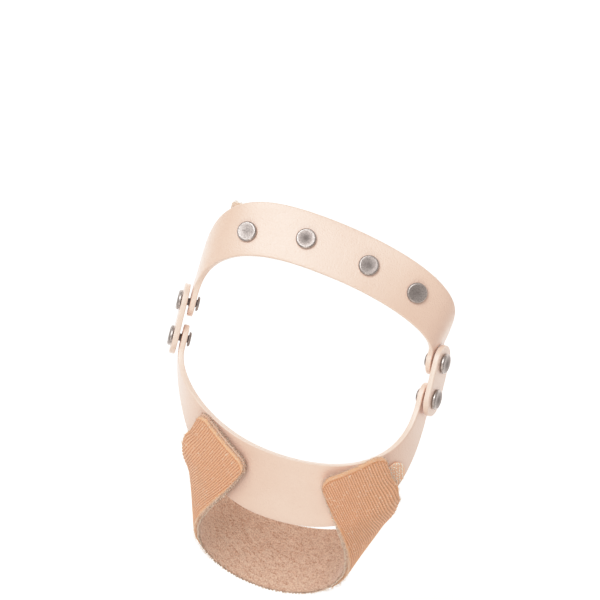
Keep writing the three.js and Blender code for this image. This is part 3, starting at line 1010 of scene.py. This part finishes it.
# %% Knit material
knit = Finish("ribbed_knit")
uv = knit.node("ShaderNodeUVMap", uv_map="stitches").outputs["UV"]
split = knit.node("ShaderNodeSeparateXYZ", {"Vector": uv}).outputs
centred = knit.math("ADD", split[0], 0.5)
turn = knit.math("MULTIPLY", knit.math("FLOOR", centred), 0.5)
offset = knit.math("ABSOLUTE", knit.math("SUBTRACT", knit.math("FRACT", centred), 0.5))
slant = knit.math("MULTIPLY", offset, 0.8)
place = knit.math("ADD", knit.math("ADD", split[1], turn), slant)
stitch = knit.ramp(knit.math("SINE", knit.math("MULTIPLY", place, 2 * math.pi)), -1.0, 1.0)
rib = knit.attribute("rib")
patchy = knit.ramp(knit.noise(420, 3), 0.35, 0.65)
uneven = knit.between(knit.noise(1300, 3), 0.5, 1.35)
low = knit.math("SUBTRACT", 1.0, rib)
# painted shade: the valleys between ribs, deeper where the stitches dip, are painted darker
valley_shade = knit.math("MULTIPLY", low, knit.between(stitch, 1.05, 0.25))
valley_shade = knit.math("MULTIPLY", valley_shade, uneven, clamp=True)
yarn = knit.mix(valley_shade, srgb(246, 196, 158), srgb(168, 102, 70))
yarn = knit.tint(yarn, patchy, 0.22, srgb(234, 178, 138))
yarn = knit.tint(yarn, knit.math("SUBTRACT", 1.0, stitch), 0.1, srgb(204, 144, 106))
# painted highlight: the rolled rim of the knit is painted lighter
rim_highlight = knit.math("MULTIPLY", knit.attribute("rolled"), knit.between(stitch, 0.25, 0.9))
yarn = knit.mix(rim_highlight, yarn, srgb(240, 192, 150))
yarn = knit.tint(yarn, knit.attribute("seam"), 0.7, srgb(206, 132, 80))
yarn = knit.tint(yarn, knit.ramp(knit.noise(1200, 4), 0.6, 0.72), 0.8, srgb(252, 230, 208))
KNIT = knit.wire(
    Base_Color=yarn,
    Roughness=knit.between(patchy, 0.82, 0.95),
    Normal=knit.bump(stitch, 0.00007, 0.7, knit.bump(knit.noise(4200, 2), 0.00006, 0.6)),
    Specular_IOR_Level=0.25,
    Sheen_Weight=0.3,
    Sheen_Roughness=0.5,
    Sheen_Tint=(1.0, 0.86, 0.72, 1.0),
)
dress(knit_piece, KNIT, "palm_frame", ["wrist_strap"])

# %% [markdown]
# ## Pile backing
# Under the knit lies the pile that grips the hook patches and lies on the skin. It is a second
# sheet, a little wider than the knit, with a bumpy skin side. Its cut edge shows along the strap's
# wrist side and at its radial end, so there the loops of the pile are real: more than a thousand
# small arches, rooted in the edge and leaning every way.

# %% Backing sheet
PILE_THICKNESS = 1.2
PILE_LEVEL = -STRAP_THICKNESS / 2 + PILE_THICKNESS / 2
PILE_RIM = 0.5
PILE_START = 0.009
PILE_TRIM = 0.06
TUFT_HEIGHT = 0.07
TUFT_LIMITS = (-0.12, 0.06)
back_across = KNIT_INSET + (1 - KNIT_INSET) * crowded(rim_across, 0.026, 52)
back_shares = PILE_START + (1 - PILE_START) * crowded(end_steps, END_GAP, 300)
back_grid = strap_grid(back_across, back_shares)
back_distance = edge_distance(back_grid)
back_half = rim_height(back_distance, PILE_THICKNESS, PILE_RIM)
tufts = rng.normal(0, TUFT_HEIGHT, back_half.shape) * np.clip(back_distance / PILE_RIM, 0, 1)
skin_side = back_half - PILE_LEVEL - PILE_TRIM + np.clip(tufts, *TUFT_LIMITS)
back_sheet = thick_sheet(back_grid, PILE_LEVEL + back_half, skin_side)
backing = add_piece("strap_pile_backing", *back_sheet)
add_values(backing, "tone", np.tile(rng.uniform(0, 0.5, back_half.size), 2))
dress(backing, PILE, "palm_frame")


# %% Places along an edge
def edge_line(grid):
    """Points round the strap's edge with the outward and upward directions there."""
    normals = grid_normals(grid)
    return {
        "proximal": (grid[:, 0], grid[:, 0] - grid[:, 3], normals[:, 0]),
        "distal": (grid[:, -1], grid[:, -1] - grid[:, -4], normals[:, -1]),
        "ulnar": (grid[0], grid[0] - grid[4], normals[0]),
        "radial": (grid[-1], grid[-1] - grid[-5], normals[-1]),
    }


def along_edge(side, per_mm, even=False):
    """Places along one edge, with the outward, upward and lengthwise directions there."""
    line, outwards, normals = side
    lengths = np.pad(np.cumsum(np.linalg.norm(np.diff(line, axis=0), axis=1)), (1, 0))
    total, count = lengths[-1], int(lengths[-1] * per_mm)
    where = np.linspace(0, total, count) if even else np.sort(rng.uniform(0, total, count))
    tangents = unit(np.gradient(line, axis=0))
    return [np.stack([np.interp(where, lengths, values[:, k]) for k in range(3)], -1)
            for values in (line, unit(outwards), normals, tangents)]


# %% Small arches
ARCH_POINTS = 6
ROOT_DEPTH = 0.12


def edge_arches(places, level, wide, tall, stray):
    """Small arches that stand out from an edge, each a little astray."""
    spots, outs, ups, tangents = places
    size = (len(spots), 1)
    roots = spots + ups * rng.uniform(*level, size) - outs * ROOT_DEPTH
    aside = unit(tangents * rng.choice([-1, 1], size) + ups * rng.normal(0, 2 * stray, size))
    out = unit(outs + ups * rng.normal(0, stray, size) + tangents * rng.normal(0, stray, size))
    bow = np.linspace(0, math.pi, ARCH_POINTS)[None, :, None]
    wide, tall = [rng.uniform(*limits, (*size, 1)) for limits in (wide, tall)]
    return roots[:, None] + aside[:, None] * wide * np.cos(bow) + out[:, None] * tall * np.sin(bow)


# %% Loops on the cut edge
back_edges = edge_line(back_grid)
PILE_LEVELS = (-STRAP_THICKNESS / 2 + 0.2, STRAP_THICKNESS / 2 - KNIT_THICKNESS + 0.1)
LOOP_SETS = (
    # edge, per mm, even, level, half width, height, stray, tube radius, least and most tone
    ("proximal", 6, False, PILE_LEVELS, (0.18, 0.32), (0.25, 0.5), 0.35, 0.1, (0.0, 0.6)),
    ("proximal", 0.8, True, (-0.6, -0.3), (0.28, 0.36), (0.55, 0.75), 0.12, 0.27, (0.9, 1.0)),
    ("radial", 9, False, PILE_LEVELS, (0.18, 0.32), (0.3, 0.6), 0.35, 0.1, (0.0, 1.0)),
)
paths, radii, tones = [], [], []
for edge, per_mm, even, level, wide, tall, stray, radius, (least, most) in LOOP_SETS:
    arches = edge_arches(along_edge(back_edges[edge], per_mm, even), level, wide, tall, stray)
    paths.append(arches)
    radii.append(np.full(len(arches), radius))
    tones.append(least + (most - least) * rng.uniform(0, 1, len(arches)) ** 2)
points, faces = tubes(np.concatenate(paths), np.concatenate(radii)[:, None])
edge_loops = add_piece("strap_edge_loops", points, faces)
add_values(edge_loops, "tone", np.repeat(np.concatenate(tones), ARCH_POINTS * TUBE_SIDES))
dress(edge_loops, PILE, "palm_frame")

# %% [markdown]
# A few loose fibres finish the cloth: short ones in the colour of the yarn round the rolled rim,
# and here and there one on the face. They break the hard outline that gives computer cloth away.

# %% Loose fibres
FIBRE_CURL = 0.7
EDGE_FIBRE = {"per_mm": 10.0, "level": (0.3, 1.1), "stand": 0.7, "radius": 0.032}
FACE_FIBRE = {"count": 1500, "sunk": 0.05, "stand": 0.3, "stray": 0.5, "length": 0.9, "radius": 0.024}
RIM_CELLS = 6
FUZZ = {"proximal": 1.0, "distal": 0.45, "ulnar": 1.5, "radial": 1.0}
wisps = []
for edge, side in edge_line(knit_grid).items():
    spots, outs, ups, _ = along_edge(side, EDGE_FIBRE["per_mm"])
    roots = spots + ups * rng.uniform(*EDGE_FIBRE["level"], (len(spots), 1))
    wisps.append(hairs(roots, (outs + ups) * EDGE_FIBRE["stand"], FUZZ[edge], FIBRE_CURL))
count = FACE_FIBRE["count"]
rows, columns = [rng.integers(RIM_CELLS, size - RIM_CELLS, count) for size in knit_grid.shape[:2]]
normals = knit_normals[rows, columns]
roots = knit_grid[rows, columns] + normals * (STRAP_THICKNESS / 2 - FACE_FIBRE["sunk"])
ways = normals * FACE_FIBRE["stand"] + rng.normal(0, FACE_FIBRE["stray"], (count, 3))
lying = hairs(roots, ways, FACE_FIBRE["length"], FIBRE_CURL)
edge_tubes = tubes(np.concatenate(wisps), EDGE_FIBRE["radius"])
face_tubes = tubes(lying, FACE_FIBRE["radius"])
fibres = add_piece("strap_fibres", *joined(edge_tubes, face_tubes))
yarn_end = Finish("loose_yarn")
YARN = yarn_end.wire(
    Base_Color=yarn_end.mix(yarn_end.noise(900, 2), srgb(240, 208, 176), srgb(255, 244, 232)),
    Roughness=yarn_end.between(yarn_end.noise(2000, 1), 0.7, 0.9),
    Specular_IOR_Level=0.3,
)
dress(fibres, YARN, "palm_frame")

# %% [markdown]
# ## Hook patches
# The strap ends hold on to patches of hook tape on the palm band. Only a corner of one shows. A
# patch is a thin woven sheet with rows of small stiff hooks, so it is a sheet of half the thickness
# with hooks standing on it.

# %% Patch outlines
PATCH_ROUNDING = 0.99
PATCHES = table(
    "side start end inner outer tip inner_round outer_round",
    ("radial", -0.6, -0.34, 0.28, 0.86, 0.57, 0.3, 0.3),
    ("ulnar", 0.5, 0.944, 0.3, 0.915, 0.84, 0.13, 0.065),
)


def patch_spots(patch, rows, columns):
    """Along and across of a grid on a patch, its ends rounded over a share of its length."""
    from_end = np.minimum(rows, 1 - rows)

    def eased(share):
        return 1 - np.sqrt(1 - (PATCH_ROUNDING * np.clip(1 - from_end / share, 0, 1)) ** 2)

    inner = patch["inner"] + (patch["tip"] - patch["inner"]) * eased(patch["inner_round"])
    outer = patch["outer"] + (patch["tip"] - patch["outer"]) * eased(patch["outer_round"])
    along = patch["start"] + (patch["end"] - patch["start"]) * rows
    across = inner[:, None] + np.outer(outer - inner, columns)
    return np.broadcast_to(along[:, None], across.shape), across


# %% Hook tape material
hook = Finish("hook_tape")
warp = hook.noise(1100, 2)
HOOK = hook.wire(
    Base_Color=hook.mix(
        hook.attribute("hooked"),
        hook.mix(hook.ramp(warp, 0.35, 0.65), srgb(246, 196, 160), srgb(255, 216, 186)),
        hook.mix(hook.ramp(warp, 0.35, 0.65), srgb(255, 240, 222), srgb(255, 250, 242)),
    ),
    Roughness=hook.between(warp, 0.5, 0.75),
    Normal=hook.bump(warp, 0.0001, 0.7),
    Specular_IOR_Level=0.4,
)

# %% Patches with hooks
PATCH_BASE = 0.45
PATCH_RIM = 0.18
PATCH_STEPS = crowded(np.array([0, 0.01, 0.03]), 0.06, 40)
HOOK_PITCH = 1.0
HOOK_ENDS = (0.03, 0.97)
HOOK_RADIUS, HOOK_SIDES = 0.19, 4
HOOK_SUNK = 0.08
HOOK_SCATTER = 0.06
HOOK_RISE = (PATCH_THICKNESS - PATCH_BASE) * np.array([0, 0.5, 0.85, 1.0, 0.95, 0.7, 0.5])
HOOK_REACH = 0.3 * np.array([0, 0.02, 0.2, 0.6, 1.0, 1.15, 1.05])
base_lift = SHEET / 2 + SOFT_GAP + PATCH_BASE / 2
root_lift = base_lift + PATCH_BASE / 2 - HOOK_SUNK
for patch in PATCHES:
    side = patch["side"]
    spots = patch_spots(patch, PATCH_STEPS, PATCH_STEPS)
    grid, _ = band_places(BANDS["palm"], *spots, base_lift)
    if grid_normals(grid)[..., 2].mean() < 0:
        grid = grid[::-1]
    half = rim_height(edge_distance(grid), PATCH_BASE, PATCH_RIM)
    base = thick_sheet(grid, half, half)
    sizes = way_along(grid, 0)[-1].mean(), way_along(grid, 1)[:, -1].mean()
    lines = [np.linspace(*HOOK_ENDS, int(size / HOOK_PITCH)) for size in sizes]
    spots = [values.ravel() for values in patch_spots(patch, *lines)]
    roots, normals = band_places(BANDS["palm"], *spots, root_lift)
    roots = roots + rng.normal(0, HOOK_SCATTER, roots.shape)
    lean = unit(np.cross(normals, rng.normal(0, 1, roots.shape)))
    bent = normals[:, None] * HOOK_RISE[:, None] + lean[:, None] * HOOK_REACH[:, None]
    hooks = tubes(roots[:, None] + bent, HOOK_RADIUS, HOOK_SIDES)
    tape = add_piece(f"{side}_hook_tape", *joined(base, hooks))
    add_values(tape, "hooked", np.repeat([0.0, 1.0], [len(base[0]), len(hooks[0])]))
    dress(tape, HOOK, "palm_frame", [f"{side}_hook_patch"])
    middle = (patch["inner"] + patch["outer"]) / 2
    length = band_length(BANDS["palm"], patch["start"], patch["end"], middle)
    print(f"{side} patch {length:.1f} mm long, {len(roots)} hooks")

# %% [markdown]
# ## Camera
# The picture is taken from almost straight above, leaning a little to the little-finger side and
# rolled, from a metre away. The camera's own axes are written down as a matrix: right, up and back.

# %% Camera
YAW, ROLL = math.radians(8.5), math.radians(13.5)
DISTANCE = 1.0
VIEW_WIDTH = 0.2048
TARGET_ASIDE, TARGET_NORTH = -0.00648, 0.01575
SENSOR = 36
back = Vector((math.sin(YAW), 0, math.cos(YAW)))
level = Vector((math.cos(YAW), 0, -math.sin(YAW)))
north = Vector((0, 1, 0))
right = level * math.cos(ROLL) + north * math.sin(ROLL)
up = north * math.cos(ROLL) - level * math.sin(ROLL)
target = level * TARGET_ASIDE + north * TARGET_NORTH
axes = Matrix((right, up, back)).transposed().to_4x4()
camera = bpy.data.objects.new("camera", bpy.data.cameras.new("camera"))
bpy.context.scene.collection.objects.link(camera)
camera.matrix_world = Matrix.Translation(target + back * DISTANCE) @ axes
camera.data.sensor_width = SENSOR
camera.data.lens = SENSOR * DISTANCE / VIEW_WIDTH
camera.data.clip_start, camera.data.clip_end = 0.05, 20
bpy.context.scene.camera = camera
print(f"camera {DISTANCE} m away, lens {camera.data.lens:.0f} mm")

# %% [markdown]
# ## Floor and light
# The splint is shown in the form that it has when worn, held above a pale floor. One broad lamp
# from the upper left models the sheet, a weaker one from the wrist side opens the shadows, and the
# sky is an even warm white.

# %% Floor
FLOOR_DROP = 0.16
FLOOR_SIZE = 6
FLOOR_GLOW = 0.42
bpy.ops.mesh.primitive_plane_add(size=FLOOR_SIZE, location=(0, 0, -FLOOR_DROP))
floor = bpy.context.object
floor.name = "floor"
ground = Finish("pale_floor")
haze = ground.noise(3, 2)
floor.data.materials.append(ground.wire(
    Base_Color=ground.mix(haze, (0.93, 0.93, 0.93, 1), (0.95, 0.95, 0.95, 1)),
    Roughness=ground.between(haze, 0.9, 1.0),
    Specular_IOR_Level=0.0,
    Emission_Color=(1, 1, 1, 1),
    Emission_Strength=FLOOR_GLOW,
))
print(f"floor {FLOOR_DROP} m below the middle of the splint")

# %% Lamps and sky
LAMPS = table(
    "name place size power colour",
    ("key", (-0.33, 0.44, 1.02), 0.8, 9.1, (0.94, 0.98, 1)),
    ("fill", (0.2, -1.0, 0.9), 0.9, 4.2, (1, 0.95, 0.9)),
)
SKY_COLOUR, SKY_STRENGTH = (1, 0.955, 0.915, 1), 0.43
for row in LAMPS:
    lamp = bpy.data.objects.new(row["name"], bpy.data.lights.new(row["name"], "AREA"))
    bpy.context.scene.collection.objects.link(lamp)
    lamp.location = row["place"]
    lamp.rotation_mode = "QUATERNION"
    lamp.rotation_quaternion = (-Vector(row["place"])).to_track_quat("-Z", "Y")
    lamp.data.size, lamp.data.energy, lamp.data.color = row["size"], row["power"], row["colour"]
world = bpy.data.worlds.new("studio")
bpy.context.scene.world = world
world.use_nodes = True
sky = world.node_tree.nodes["Background"].inputs
sky["Color"].default_value, sky["Strength"].default_value = SKY_COLOUR, SKY_STRENGTH
print("lamps:", [(row["name"], row["power"]) for row in LAMPS])
view = bpy.context.scene.view_settings
view.view_transform = "Standard"

# %% [markdown]
# A camera does not clip its brightest tones, it rolls them off. A curve in the colour management
# does the same: below four fifths nothing changes, and above that the curve bends over and reaches
# white a little late.

# %% Highlight curve
WHITE = 1.12
CURVE_POINTS = ((0.4, 0.4), (0.8, 0.8), (0.97, 0.92))
view.use_curve_mapping = True
curve = view.curve_mapping
curve.white_level = (WHITE, WHITE, WHITE)
line = curve.curves[3]
for light, shown in CURVE_POINTS:
    line.points.new(light / WHITE, shown)
curve.update()
print("highlight curve:", [[round(v, 3) for v in point.location] for point in line.points])
